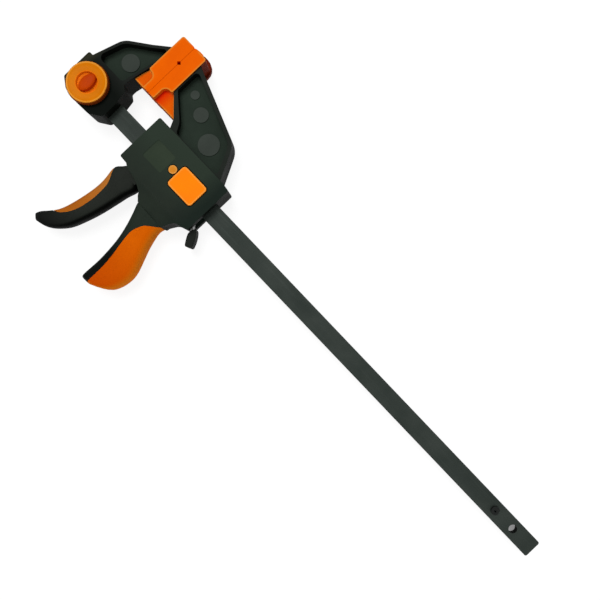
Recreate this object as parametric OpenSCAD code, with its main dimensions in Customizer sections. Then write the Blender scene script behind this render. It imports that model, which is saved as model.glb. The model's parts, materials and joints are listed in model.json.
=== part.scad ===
// Quick release bar clamp, lying on its back with the jaws closed.
// +X runs along the bar to its free end, +Y to the jaw tips, +Z through the thickness.
// The origin is on the bar's centre line, in the plane where the two pads meet.

/* [Bar] */
// Width of the bar
bar_w = 20; // [18:0.5:22]
// Thickness of the bar
bar_t = 8; // [6:0.5:9]
// Length of the bar
bar_l = 678; // [450:1:900]
// Length of bar behind the plane where the pads meet
bar_back = 66; // [62:1:68]
// Corner radius at the bar's free end
bar_corner = 2; // [1:0.5:4]
// Diameter of the two holes near the free end
end_hole_d = 9; // [6:0.5:10]
// From the free end to the outer hole
end_hole_in = 29.7; // [20:0.1:40]
// From the outer hole to the inner one
end_hole_pitch = 27; // [16:0.5:40]
// How far the stop pin stands out of each face of the bar
stop_proud = 3; // [2:0.5:5]

/* [Fixed jaw] */
// Thickness of the fixed jaw
fixed_t = 36; // [30:1:38]
// Width of the rim round the moving jaw's sunk web
rim_w = 4; // [3:0.5:6]
// Width of the rim round the fixed jaw's sunk web
fixed_rim_w = 3; // [2.5:0.5:5]
// Thickness of the web inside the rim
web_t = 14; // [8:1:20]
// How far the round bosses stand off the web
web_boss_h = 1; // [0.5:0.5:3]

/* [Lock knob] */
// From the plane where the pads meet back to the knob's axis
lock_back = 48.5; // [46:0.5:49.5]
// Diameter of the knob
knob_d = 44; // [36:0.5:45]
// Height of the knob
knob_h = 8; // [6:0.5:12]
// Diameter of the finger pocket in the knob
knob_pocket_d = 22; // [18:1:26]
// Depth of the finger pocket
knob_pocket_h = 4; // [2:0.5:5]
// Diameter of the steel lock pin
lock_pin_d = 8; // [6:0.5:10]

/* [Pads] */
// From the bar's centre line to the top of the pads
pad_top = 103.4; // [100:0.2:108]
// From the bar's centre line to the underside of the pads
pad_foot = 38.1; // [36:0.1:40]
// Thickness of the pad in front of the jaw
pad_wall = 4; // [3:0.5:5]
// Thickness of the pad over the jaw's tip
pad_roof = 3.4; // [2.5:0.1:4]
// Thickness of the pad's side flanges
pad_flange = 2.4; // [1.6:0.2:3]
// Width of each pad seen from the front
pad_w = 16.6; // [14:0.2:18]
// Width of each pad's neck
neck_w = 7.5; // [6:0.5:9]
// Thickness of the pad's foot under the jaw
foot_t = 28; // [20:1:32]
// Depth of the groove across each pad's face
groove_d = 2.3; // [1:0.1:2.5]
// How far the pads stand higher at the back than at the front
hood_h = 6; // [3:0.5:8]

/* [Housing] */
// Thickness of the housing
block_t = 40; // [38:1:44]
// From the closed pads' plane to the housing's front end
block_x = 26.3; // [25:0.1:28]
// Length of the housing along the bar
block_l = 101.7; // [100:0.5:108]
// Height of the housing above the bar
block_over = 19.2; // [18:0.1:22]
// Depth of the housing below the bar
block_under = 16.8; // [15:0.1:18]
// Thickness of the moving jaw
jaw_t = 36; // [30:1:38]
// Thickness of the housing's walls
shell_wall = 3.5; // [2.5:0.1:4]
// Length of the bar guide at the housing's front end
guide_l = 9; // [6:0.5:10]
// Depth of the bare panel on the housing's front
panel_h = 0.4; // [0.3:0.1:1]

/* [Handle] */
// Length of the handle below the housing
handle_l = 94; // [86:1:100]
// Thickness of the handle with its grip
handle_t = 32; // [28:1:36]
// Thickness of the handle under the grip
core_t = 25; // [22:0.5:27]
// Width of the bare strip along the handle's front
strip_w = 7.6; // [6:0.1:9]
// Thickness of the soft grip behind the handle
grip_back = 3; // [2:0.5:5]

/* [Trigger] */
// Length of the trigger's blade below its root
trigger_l = 102; // [92:1:104]
// Thickness of the trigger
trigger_t = 24; // [20:1:24]
// Depth of the pivot below the bar
pivot_under = 9; // [8.8:0.1:11]
// Diameter of the pivot pin
pivot_d = 6; // [4:0.5:7]
// How far the trigger turns, in degrees
trigger_turn = 20; // [10:1:20]

/* [Levers] */
// Thickness of the drive lever's steel
drive_t = 3.5; // [2.5:0.5:4]
// Thickness of the brake lever's steel
brake_t = 3; // [2:0.5:3.5]
// Width of both levers
lever_w = 18; // [15:1:19]
// Slant of the brake lever at rest, in degrees
brake_slant = 8; // [7:1:10]
// Width of the release tab seen from the front
tab_w = 8.5; // [7:0.5:10]

/* [Button] */
// Length of the push button along the bar
button_l = 33.4; // [28:0.2:34]
// Height of the push button across the bar
button_w = 25.7; // [20:0.1:26]
// How far the button stands out of the housing
button_proud = 1.5; // [1:0.1:3]
// How far the button can be pushed
button_travel = 2.5; // [1.5:0.5:2.5]

/* [Fits] */
// Gap between pieces that move past each other
slide_gap = 0.3; // [0.25:0.05:0.5]
// Gap round a pin that turns in its hole
pin_gap = 0.05; // [0.02:0.01:0.1]
// Gap between pieces that are fixed together
seat_gap = 0.1; // [0.05:0.05:0.2]
// Gap between the two closed pads
pads_gap = 0.3; // [0.2:0.1:1]
// Diameter of the screws that hold the shells together
screw_d = 3.5; // [3:0.5:4]

/* [Hidden] */
$fn = 48;

black = [0.19, 0.22, 0.19];
steel = [0.33, 0.35, 0.34];
bright_steel = [0.62, 0.64, 0.66];
orange = [0.93, 0.42, 0.05];
amber = [0.86, 0.52, 0.08];
red_orange = [0.78, 0.28, 0.03];

// The bar
half_bar = bar_w / 2;
bar_end = bar_l - bar_back;
outer_hole_x = bar_end - end_hole_in;
stop_x = outer_hole_x - end_hole_pitch;
bar_slot_y = half_bar + slide_gap;
bar_slot_z = bar_t / 2 + slide_gap;

// The jaws and their pads
face_x = pads_gap / 2 + pad_wall + seat_gap;
tip_y = pad_top - pad_roof - seat_gap;
pad_t = jaw_t + 2 * seat_gap + 2 * pad_flange;

// The lock
knob_z = fixed_t / 2 + slide_gap;
pocket_z = knob_z + knob_h - knob_pocket_h;
lock_bore_r = lock_pin_d / 2 + pin_gap;
bush_r = lock_pin_d / 2 + 2;
bush_l = 10;
clip_r = lock_pin_d / 2 + 3;
clip_t = 0.9;
clip_z = -fixed_t / 2 + 0.7;
clip_groove = 0.8;

// The housing
block_end = block_x + block_l;
block_top = half_bar + block_over;
block_low = -half_bar - block_under;
cave_h = block_t / 2 - shell_wall;
cave_top = block_top - shell_wall;
cave_low = block_low + shell_wall;

// The trigger, and the drive lever that its nose pushes
pivot_x = block_x + 23.7;
pivot_y = -half_bar - pivot_under;
pivot = [pivot_x, pivot_y];
hub_r = min(pivot_under - 2 * slide_gap, 7.2);
pin_reach = cave_h + 2;
nose_x = 5;
nose_drop = 9.5;
nose_r = 2.5;
trigger_slot = trigger_t / 2 + 0.4;
drive_x = pivot_x + nose_x + nose_r + slide_gap;
drive_travel = nose_x * cos(trigger_turn) + nose_drop * sin(trigger_turn) - nose_x;
drive_top = half_bar + 7;
drive_low = pivot_y - nose_drop - 0.5;
spring_wire = 1.8;
drive_coil_r = norm([half_bar, bar_t / 2]) + 0.5 + spring_wire / 2;
drive_coil_l = 16;
bulkhead_x = drive_x + drive_t + drive_coil_l + 2 * seat_gap;
bulkhead_t = 3;

// The brake lever, which rocks on a round ledge under the bar
fulcrum = [block_end - 13, -half_bar - 7.5];
fulcrum_r = 2.5;
brake_x = fulcrum_r + slide_gap;
brake_top = half_bar - fulcrum.y + 9;
brake_bend = -4.5;
tail_l = 23;
tail_jog = [4.2, -1.6];
tail_slant = 37;
tail_w = lever_w - 4;
tail_slot = lever_w / 2 + 1;
brake_coil_r = 3;
brake_coil_wire = 0.8;
brake_coil_y = half_bar + 6.2;
end_wall = 3.5;

// The push button, its spring and the ledge under it
button_x = block_end - 48.7;
button_y = 0.9;
button_rim = 1.4;
button_rim_t = 1.5;
button_z = cave_h - button_rim_t - seat_gap;
ledge_z = bar_slot_z + 0.7;
ledge_t = 3;
button_coil_r = 4;

// The screws
screw_places = [[block_x + 15, cave_top - 5, block_t / 2], [block_end - 25, cave_top - 3.5, block_t / 2],
    [block_x + 51.4, 46.4, web_t / 2 + web_boss_h], [block_x + 23.5, 61.9, web_t / 2 + web_boss_h],
    [block_x + 66, pivot_y - 20, block_t / 2 - 3]];
screw_head_r = screw_d / 2 + 1.4;
screw_head_t = 2;
boss_r = screw_d / 2 + 2.4;
tongue_t = 16;

// Direction from one point to another, as a unit vector
function unit(a, b) = (b - a) / norm(b - a);
// An outline whose corners are rounded; each corner is [x, y, radius]
function rounded(c, k = 5) = [for (i = [0 : len(c) - 1])
    let (p = [c[i].x, c[i].y], r = c[i].z,
        a = c[(i + len(c) - 1) % len(c)], b = c[(i + 1) % len(c)],
        u = unit(p, [a.x, a.y]), v = unit(p, [b.x, b.y]), half = acos(u * v) / 2,
        m = p + (u + v) / norm(u + v) * r / sin(half),
        q = p + u * r / tan(half) - m, w = p + v * r / tan(half) - m,
        start = atan2(q.y, q.x), turn = (atan2(w.y, w.x) - start + 540) % 360 - 180)
    for (j = [0 : r > 0 ? k : 0])
        r > 0 ? m + r * [cos(start + turn * j / k), sin(start + turn * j / k)] : p];
// The same corners moved inwards by d, or outwards where d is below 0; they run anticlockwise
function inset(c, d) = [for (i = [0 : len(c) - 1])
    let (p = [c[i].x, c[i].y], a = c[(i + len(c) - 1) % len(c)], b = c[(i + 1) % len(c)],
        e = unit([a.x, a.y], p), f = unit(p, [b.x, b.y]), m = [-e.y, e.x], n = [-f.y, f.x],
        q = p + (m + n) * d / (1 + m * n), turn = e.x * f.y - e.y * f.x)
    [q.x, q.y, max(c[i].z - d * sign(turn), 0.5)]];
// A smooth line through points
function spline(a, b, c, d, t) = 0.5 * (2 * b + (c - a) * t + (2 * a - 5 * b + 4 * c - d) * t * t
    + (3 * b - a - 3 * c + d) * t * t * t);
function curve(p, k = 3) = [for (i = [0 : len(p) - 2])
    let (a = p[max(i - 1, 0)], d = p[min(i + 2, len(p) - 1)])
    for (j = [0 : k - 1]) spline(a, p[i], p[i + 1], d, j / k), p[len(p) - 1]];
function turned(p, angle) = [p.x * cos(angle) - p.y * sin(angle), p.x * sin(angle) + p.y * cos(angle)];
function shifted(p, d) = [for (q = p) [q.x + d.x, q.y + d.y]];
// Points measured from the trigger's pivot, with those below a line stretched along y
function drawn(p, top, stretch) = [for (q = p)
    pivot + [q.x, q.y > top ? q.y : top + (q.y - top) * stretch]];
function backwards(p) = [for (i = [len(p) - 1 : -1 : 0]) p[i]];

// Outlines of the jaws and of their sunk webs, anticlockwise
fixed_corners = [[-15.2, -half_bar - 2.5, 5], [-15.2, 4, 30], [-18, 21.6, 3], [-23.4, 25.5, 2],
    [-23.4, 31, 6], [-18, 57, 2], [-face_x, 57, 1], [-face_x, tip_y, 1], [-9, tip_y - 5.2, 4],
    [-33, 74.6, 18], [-56.7, 57, 20], [-67.4, 23.6, 1], [-72.4, 23.6, 2], [-72.4, -half_bar - 2, 3],
    [-62, -half_bar - 9.8, 8], [-46, -half_bar - 11.8, 30], [-28, -half_bar - 11, 8]];
fixed_web = [[-23.4, 23.4, 7], [-23.4, 31, 6], [-14, 71, 6], [-14, 90.5, 6], [-33, 74.6, 18],
    [-56.7, 57, 20], [-67.4, 23.4, 8]];
moving_corners = [[block_x + 90.4, block_top - 4, 0], [block_x + 70.4, 64.3, 22], [face_x, tip_y, 1.5],
    [face_x, 58, 1], [17, 57, 4], [block_x + 10.2, 38, 9], [block_x + 16, block_top - 4, 0]];
moving_web = [[block_x + 89, block_top + 0.8 - rim_w, 7], [block_x + 70.4, 64.3, 22], [14, 95.8, 8],
    [14, 59.6, 7], [block_x + 13.9, 37.2, 12], [block_x + 20, block_top + 0.8 - rim_w, 8]];

// Edges of the handle and the line where its grip starts, from the top down
handle_root = -28.9;
function handle_line(p) = drawn(curve(p, 2), handle_root, handle_l / 94);
handle_front = handle_line([[19.2, -27.5], [20.4, -31.5], [22.1, -35.5], [24, -40], [28.2, -52.2],
    [32, -67.5], [33.9, -82.8], [34.8, -98], [34.5, -110], [34.3, -118], [35.2, -122.6]]);
handle_rear = handle_line([[57.3, -28.9], [56.3, -32.5], [56.2, -36.5], [57.2, -42], [60.6, -54],
    [65.5, -66.5], [70.6, -80], [72.1, -91], [69.6, -104], [63.4, -113.4], [48, -122.3]]);
grip_line = shifted(handle_line([[51.6, -28.7], [48, -32.2], [43.2, -36.1], [39, -41], [37.4, -52.7],
    [38.6, -67.3], [40.9, -82.4], [42.4, -97], [42.6, -109], [42.4, -117.1], [42, -122.5]]),
    [strip_w - 7.6, 0]);

// Where a handle section's surface lies, at a distance u from the front edge
function skin(u, w, h) = h * pow(max(1 - pow(abs(2 * u / w - 1), 3.2), 0), 1 / 3.2);
function skin_to(u, w, h, k = 5) = [for (j = [0 : k]) let (a = u * pow(j / k, 2))
    [a, j == 0 ? 0.8 : skin(a, w, h)]];
function skin_from(u, w, h, k = 7) = [for (j = [0 : k]) let (a = u + (w - u) * (1 - pow(1 - j / k, 2)))
    [a, j == k ? 0.8 : skin(a, w, h)]];
function placed(line, p, d) = [for (q = line) [p.x + d.x * q.x, p.y + d.y * q.x, q.y]];
// A line on a section's upper face and its mirror image on the lower face, as a closed ring
function ring(line) = concat(backwards(line), [for (q = line) [q.x, -q.y]]);
// Sections: 0 is the handle, sunk behind the grip line; 1 is the grip's outside; 2 is its inside
function handle_rows(kind) = [for (i = [0 : len(handle_front) - 1])
    let (p = handle_front[i], w = norm(handle_rear[i] - p), d = (handle_rear[i] - p) / w,
        u = (grip_line[i] - p) * d, h = min(handle_t / 2, w * 0.85),
        seat = skin_from(u + 0.5, w - grip_back, h - (handle_t - core_t) / 2),
        lift = [for (q = seat) q + [seat_gap, seat_gap]])
    placed(kind == 0 ? ring(concat(skin_to(u, w, h), seat))
        : kind == 1 ? ring(concat([[u + seat_gap + 0.65, lift[0].y - 1]], skin_from(u + seat_gap, w, h)))
        : ring(concat([[u - 3, lift[0].y]], lift)), p, d)];

// Edges of the trigger and its orange insert, from the top down
trigger_root = -16;
function trigger_line(p) = drawn(p, trigger_root, trigger_l / 102);
trigger_front = trigger_line([[-14, -10], [-22.2, -17.5], [-24.1, -24], [-22.3, -36], [-22, -47],
    [-23.9, -62], [-27.6, -79.5], [-31.8, -91.5], [-37.6, -100], [-42.6, -106], [-46, -112]]);
trigger_rear = trigger_line([[nose_x + 1, -15.5], [8.7, -19], [10.1, -23], [7.6, -33], [5.4, -43],
    [0.8, -64], [-3.9, -80], [-9.9, -95.5], [-17, -105.5], [-27, -114], [-39.5, -117.8]]);
insert_line = trigger_line([[-23.8, -22], [-17.8, -28], [-13, -35], [-11, -44], [-10.8, -54], [-12.4, -65],
    [-16, -76.5], [-21, -86.5], [-27.5, -95], [-33, -100], [-39, -103]]);
insert_outline = concat(backwards(curve(insert_line)), trigger_line([[-60, -22], [-60, -103]]));
swept = [for (i = [1 : 5]) turned(trigger_rear[i] - pivot, trigger_turn) + [1.3, 0]];
slot_left = -15.2;
slot_top = hub_r + slide_gap;
slot_corners = concat([[slot_left, -70], [swept[4].x, -70]], backwards(swept),
    [[swept[1].x, slot_top], [slot_left, slot_top]]);

// Outlines of the housing and of the hollow inside it, anticlockwise
block_corners = [[block_x, block_low, 2], [pivot_x - 14, block_low - 0.6, 2],
    [pivot_x - 11, pivot_y - 10.5, 1], [pivot_x + 1, pivot_y - 13.5, 4], [pivot_x + 9, pivot_y - 19.5, 3],
    [pivot_x + 14.5, pivot_y - 23.4, 1.5], [pivot_x + 18, pivot_y - 27.3, 1],
    [pivot_x + 57.3, pivot_y + handle_root - 0.04 + seat_gap, 1], [pivot_x + 57.8, pivot_y - 25, 2],
    [pivot_x + 62.8, pivot_y - 15.4, 9], [block_end, pivot_y - 10.3, 2.5],
    [block_end, block_top - 1.3, 2], [block_end - 10, block_top, 8], [block_x, block_top, 2]];
cave_corners = [[block_x + guide_l, cave_low, 2], [block_end - end_wall, cave_low, 2],
    [block_end - end_wall, cave_top, 2], [block_x + guide_l, cave_top, 2]];

// A prism centred on the bar's plane
module slab(points, t) {
    translate([0, 0, -t / 2])
        linear_extrude(t)
            polygon(points);
}

module box(x0, x1, y0, y1, z0, z1) {
    translate([x0, y0, z0])
        cube([x1 - x0, y1 - y0, z1 - z0]);
}

// A round pin along Z from z0 to z1
module rod(x, y, r, z0, z1) {
    translate([x, y, z0])
        cylinder(r = r, h = z1 - z0);
}

// A prism from z0 to z1
module prism(points, z0, z1) {
    translate([0, 0, z0])
        linear_extrude(z1 - z0)
            polygon(points);
}

// A coil spring along +X, swept with a six-sided wire
module coil(r, wire, length, turns, steps = 14) {
    n = turns * steps;
    loft([for (i = [0 : n])
        [for (j = [0 : 5])
            let (a = 360 * i / steps, q = r + wire / 2 * cos(60 * j))
            [wire / 2 + (length - wire) * i / n + wire / 2 * sin(60 * j), q * cos(a), q * sin(a)]]]);
}

// A solid through rows of points
module loft(rows) {
    n = len(rows) - 1;
    w = len(rows[0]);
    ends = [[for (j = [0 : w - 1]) j], [for (j = [w - 1 : -1 : 0]) n * w + j]];
    sides = [for (i = [0 : n - 1], j = [0 : w - 1])
        let (k = (j + 1) % w)
        each [[i * w + j, (i + 1) * w + j, (i + 1) * w + k], [i * w + j, (i + 1) * w + k, i * w + k]]];
    polyhedron(points = [for (row = rows) each row], faces = concat(ends, sides));
}

// A blade with rounded faces between two edge lines
module blade(front, rear, t, power = 3.2, ring = 20) {
    function bulge(v) = abs(v) < 1e-9 ? 0 : sign(v) * pow(abs(v), 2 / power);
    loft([for (i = [0 : len(front) - 1])
        let (c = (front[i] + rear[i]) / 2, e = (rear[i] - front[i]) / 2, h = min(t / 2, norm(e) * 1.7))
        [for (j = [0 : ring - 1])
            let (p = c + e * bulge(cos(360 * j / ring)))
            [p.x, p.y, h * bulge(sin(360 * j / ring))]]]);
}

module bar() {
    color(steel) difference() {
        slab(rounded([[-bar_back, -half_bar, 0.5], [bar_end, -half_bar, bar_corner],
            [bar_end, half_bar, bar_corner], [-bar_back, half_bar, 0.5]]), bar_t);
        for (x = [outer_hole_x, stop_x])
            rod(x, 0, end_hole_d / 2, -bar_t, bar_t);
        rod(-lock_back, 0, lock_bore_r, -bar_t, bar_t);
    }
}

// Rolled from sheet steel, so it has a slot down one side
module stop_pin() {
    reach = bar_t / 2 + stop_proud;
    color(steel) difference() {
        rod(stop_x, 0, end_hole_d / 2 - 0.02, -reach, reach);
        rod(stop_x, 0, end_hole_d / 4, -reach - 1, reach + 1);
        box(stop_x, stop_x + end_hole_d, -0.5, 0.5, -reach - 1, reach + 1);
    }
}

// Sunk webs on both faces of a jaw
module webs(jaw_web, rim, t) {
    for (side = [0, 1])
        mirror([0, 0, side])
            prism(rounded(inset(jaw_web, rim)), web_t / 2, t);
}

module fixed_jaw() {
    h = fixed_t / 2;
    color(black) difference() {
        union() {
            difference() {
                slab(rounded(fixed_corners), fixed_t);
                webs(fixed_web, fixed_rim_w, fixed_t);
            }
            rod(-39, 46.4, 9.5, -web_t / 2 - web_boss_h, web_t / 2 + web_boss_h);
        }
        box(-bar_back - seat_gap, 0, -half_bar - seat_gap, half_bar + seat_gap,
            -bar_t / 2 - seat_gap, bar_t / 2 + seat_gap);
        rod(-lock_back, 0, lock_bore_r, -h - 1, h + 1);
        rod(-lock_back, 0, bush_r + seat_gap, h - bush_l, h + 1);
        rod(-lock_back, 0, clip_r + seat_gap, -h - 1, clip_z + clip_t + slide_gap);
    }
}

module lock_bush() {
    color(bright_steel) difference() {
        rod(-lock_back, 0, bush_r, fixed_t / 2 - bush_l, fixed_t / 2);
        rod(-lock_back, 0, lock_bore_r, 0, fixed_t);
    }
}

module lock_knob() {
    edge = 1.5;
    color(amber) difference() {
        union() {
            rod(-lock_back, 0, knob_d / 2, knob_z, knob_z + knob_h - edge);
            translate([-lock_back, 0, knob_z + knob_h - edge])
                cylinder(r1 = knob_d / 2, r2 = knob_d / 2 - edge, h = edge);
        }
        rod(-lock_back, 0, knob_pocket_d / 2, pocket_z, knob_z + knob_h + 1);
        rod(-lock_back, 0, lock_pin_d / 2, knob_z - 1, pocket_z - 1);
    }
}

// A lens-shaped thumb tab that stands in the knob's pocket
module knob_tab() {
    r = knob_pocket_d / 2 - seat_gap;
    color(red_orange) intersection() {
        rod(-lock_back - r * 0.45, 0, r * 1.15, pocket_z, pocket_z + knob_pocket_h + 1.5);
        rod(-lock_back + r * 0.45, 0, r * 1.15, pocket_z, pocket_z + knob_pocket_h + 1.5);
        rod(-lock_back, 0, r, pocket_z, pocket_z + 2 * knob_pocket_h);
    }
}

module lock_pin() {
    color(bright_steel) difference() {
        rod(-lock_back, 0, lock_pin_d / 2, -fixed_t / 2 + 0.1, pocket_z - 1);
        difference() {
            rod(-lock_back, 0, lock_pin_d, clip_z, clip_z + clip_t);
            rod(-lock_back, 0, lock_pin_d / 2 - clip_groove, clip_z - 1, clip_z + 2);
        }
    }
}

// A spring clip that snaps into the pin's groove from the side
module lock_clip() {
    r = lock_pin_d / 2 - clip_groove;
    color(steel) difference() {
        rod(-lock_back, 0, clip_r - slide_gap, clip_z, clip_z + clip_t);
        rod(-lock_back, 0, r, clip_z - 1, clip_z + 2);
        box(-lock_back - 0.8 * r, -lock_back + 0.8 * r, 0, 2 * clip_r, clip_z - 1, clip_z + 2);
    }
}

// A pad snaps over a jaw's tip: two side flanges, a roof, a face and a foot under the jaw
module pad(jaw_corners, thickness, foot, side) {
    inner = pads_gap / 2;
    flange_low = pad_foot + 17;
    color(orange) difference() {
        union() {
            mirror([side < 0 ? 1 : 0, 0, 0])
                slab(rounded([[inner, pad_foot, 1], [inner + neck_w, pad_foot, 1],
                    [inner + neck_w, flange_low, 6], [inner + pad_w, flange_low, 2],
                    [inner + pad_w, pad_top, 2.5], [inner, pad_top, 1.5]]), pad_t);
            slab(foot, foot_t);
            mirror([side < 0 ? 1 : 0, 0, 0])
                prism(rounded([[inner, flange_low + 20, 0], [inner + pad_w + 2.6, flange_low + 20, 4],
                    [inner + pad_w + 2.6, pad_top + hood_h, 13], [inner, pad_top + hood_h, 1.5]]),
                    -pad_t / 2, -foot_t / 2);
        }
        slab(rounded(inset(jaw_corners, -seat_gap)), thickness + 2 * seat_gap);
        translate([side * inner, pad_top - 22.4, 0])
            rotate(45)
                cube([groove_d * sqrt(2), groove_d * sqrt(2), 2 * pad_t], center = true);
    }
}

module fixed_pad() {
    pad(fixed_corners, fixed_t, [[-3, pad_foot], [-3, 58], [-17, 58], [-22.6, pad_foot]], -1);
}

module moving_pad() {
    pad(moving_corners, jaw_t, [[3, pad_foot], [38.8, pad_foot], [17, 58], [3, 58]], 1);
}

module jaw_half() {
    difference() {
        prism(rounded(moving_corners), 0, jaw_t / 2);
        webs(moving_web, rim_w, jaw_t);
    }
    for (b = [[block_x + 51.4, 46.4, 11.5], [block_x + 23.5, 61.9, 8], [block_x + 4.4, 71.7, 4.8]])
        rod(b.x, b.y, b.z, 0, web_t / 2 + web_boss_h);
}

// The housing slopes towards the handle below the trigger's root
module block_half() {
    slope_y = pivot_y - 11;
    slope_l = 22;
    difference() {
        prism(rounded(block_corners), 0, block_t / 2);
        rotate([90, 0, 90])
            linear_extrude(2 * block_end)
                polygon([[slope_y, block_t / 2], [slope_y, block_t], [slope_y - slope_l, block_t],
                    [slope_y - slope_l, handle_t / 2 - 3]]);
    }
}

// Walls, bosses and the brake lever's ledge inside the housing
module ribs() {
    box(bulkhead_x, bulkhead_x + bulkhead_t, cave_low - 1, cave_top + 1, 0, cave_h + 1);
    box(fulcrum.x - 13, fulcrum.x - 10, cave_low - 1, cave_top + 1, 0, cave_h + 1);
    box(fulcrum.x - 1.8, fulcrum.x + 1.2, cave_low - 1, fulcrum.y, 0, cave_h + 1);
    rod(fulcrum.x, fulcrum.y, fulcrum_r, 0, cave_h + 1);
    for (p = [screw_places[0], screw_places[1]])
        rod(p.x, p.y, boss_r, 0, cave_h + 1);
    rod(pivot_x, pivot_y, pivot_d / 2 + 3, trigger_slot - 1, cave_h + 1);
}

// Half of the moving jaw with its housing: what both shells share
module half_shell() {
    difference() {
        union() {
            difference() {
                union() {
                    jaw_half();
                    block_half();
                }
                prism(rounded(cave_corners), -1, cave_h);
            }
            ribs();
        }
        box(block_x - 1, block_end + 1, -bar_slot_y, bar_slot_y, -1, bar_slot_z);
        prism(shifted(slot_corners, pivot), -1, trigger_slot);
        box(fulcrum.x + fulcrum_r + 0.2, block_end + 2, fulcrum.y - 25, bar_slot_y, -1, tail_slot);
        rod(pivot_x, pivot_y, pivot_d / 2 + seat_gap, -1, pin_reach);
        tongue(seat_gap, -1);
    }
}

// The flat tongue on the handle that the shells close round
module tongue(gap, z0) {
    box(pivot_x + 28 - gap, pivot_x + 50 + gap, pivot_y - 31 - gap, pivot_y - 12 + gap,
        z0, tongue_t / 2 + gap);
}

module front_shell() {
    color(black) difference() {
        union() {
            half_shell();
            box(bulkhead_x + 1, fulcrum.x - 11, cave_low - 1, cave_top + 1, ledge_z, ledge_z + ledge_t);
        }
        prism(button_corners(slide_gap), cave_h - 1, block_t);
        prism(button_corners(button_rim + slide_gap), ledge_z + ledge_t, cave_h);
        rod(button_x - 5.5, 2.1, 3, cave_h - 1, block_t);
        prism(rounded([[block_x + 15, -10, 2], [block_x + 41, -10, 2], [block_x + 41, 13, 2],
            [block_x + 15, 13, 2]]), block_t / 2 - panel_h, block_t);
        for (p = screw_places)
            rod(p.x, p.y, screw_d / 2 + seat_gap, -1, p.z - 2);
    }
}

module back_shell() {
    color(black) difference() {
        mirror([0, 0, 1])
            half_shell();
        for (p = screw_places) {
            rod(p.x, p.y, screw_d / 2 + seat_gap, -block_t, 1);
            rod(p.x, p.y, screw_head_r + seat_gap, -block_t, -p.z + screw_head_t + 0.4);
        }
    }
}

// Countersunk into the back; all five screws have the same thread
module shell_screws() {
    for (p = screw_places) {
        seat = -p.z + screw_head_t + 0.4;
        color(bright_steel) difference() {
            union() {
                rod(p.x, p.y, screw_head_r, seat - screw_head_t, seat);
                rod(p.x, p.y, screw_d / 2, seat, p.z - 2.5);
            }
            for (a = [0, 90])
                translate([p.x, p.y, seat - screw_head_t])
                    rotate(a)
                        cube([screw_head_r, 0.8, 2], center = true);
        }
    }
}

// Its tongue is held between the shells by the lowest screw
module handle_core() {
    p = screw_places[4];
    color(black) difference() {
        union() {
            loft(handle_rows(0));
            tongue(0, -tongue_t / 2);
        }
        rod(p.x, p.y, screw_d / 2 + seat_gap, -tongue_t, tongue_t);
    }
}

module handle_grip() {
    inside = handle_rows(2);
    last = len(inside) - 1;
    color(orange) difference() {
        loft(handle_rows(1));
        loft(concat([[for (p = inside[0]) p + [0, 1, 0]]], inside, [[for (p = inside[last]) p - [0, 1, 0]]]));
    }
}

module trigger_pin() {
    color(bright_steel) rod(pivot_x, pivot_y, pivot_d / 2, -pin_reach + seat_gap, pin_reach - seat_gap);
}

module front_plug() {
    color(amber) {
        rod(button_x - 5.5, 2.1, 4.5, block_t / 2, block_t / 2 + 1.2);
        rod(button_x - 5.5, 2.1, 3 - seat_gap, cave_h + 0.5, block_t / 2);
    }
}

module drive_spring() {
    color(bright_steel) translate([drive_x + drive_t + seat_gap, 0, 0])
        coil(drive_coil_r, spring_wire, drive_coil_l, 5);
}

module brake_spring() {
    x = fulcrum.x + (brake_x + brake_t) * cos(brake_slant)
        - (brake_coil_y - brake_coil_r - fulcrum.y) * tan(brake_slant) + seat_gap + 0.3;
    color(bright_steel) translate([x, brake_coil_y, 0])
        coil(brake_coil_r, brake_coil_wire, block_end - end_wall - seat_gap - x, 4, 12);
}

module button_spring() {
    z = ledge_z + ledge_t + seat_gap;
    color(bright_steel) translate([button_x + button_l / 2, button_y, z])
        rotate([0, -90, 0])
            coil(button_coil_r, brake_coil_wire, button_z - z - seat_gap, 3, 12);
}

module trigger() {
    neck = shifted([[0.4 - hub_r, 0], [-14, -10.4], [-17, -14.5], [nose_x + 1, -18.4],
        [nose_x + 1, -nose_drop - 1], [nose_x + 1.9, -nose_drop + 1], [hub_r - 0.4, 0]], pivot);
    color(black) difference() {
        union() {
            difference() {
                blade(curve(trigger_front, 2), curve(trigger_rear, 2), trigger_t);
                slab(shifted(insert_outline, [seat_gap, 0]), 2 * trigger_t);
            }
            slab(neck, trigger_t);
            rod(pivot_x, pivot_y, hub_r, -trigger_t / 2, trigger_t / 2);
            rod(pivot_x + nose_x, pivot_y - nose_drop, nose_r, -trigger_t / 2, trigger_t / 2);
        }
        rod(pivot_x, pivot_y, pivot_d / 2 + pin_gap, -trigger_t, trigger_t);
    }
}

module trigger_insert() {
    color(orange) intersection() {
        blade(curve(trigger_front, 2), curve(trigger_rear, 2), trigger_t);
        slab(insert_outline, 2 * trigger_t);
    }
}

// A steel plate round the bar, pushed along by the trigger's nose
module drive_lever() {
    color(bright_steel) difference() {
        box(drive_x, drive_x + drive_t, drive_low, drive_top, -lever_w / 2, lever_w / 2);
        box(drive_x - 1, drive_x + drive_t + 1, -bar_slot_y - 0.6, bar_slot_y + 0.6,
            -bar_slot_z - 0.6, bar_slot_z + 0.6);
    }
}

// Where the brake lever's plate crosses a height y, measured up the slanted plate
function up_plate(y, x) = (y - fulcrum.y - x * sin(brake_slant)) / cos(brake_slant);

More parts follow.
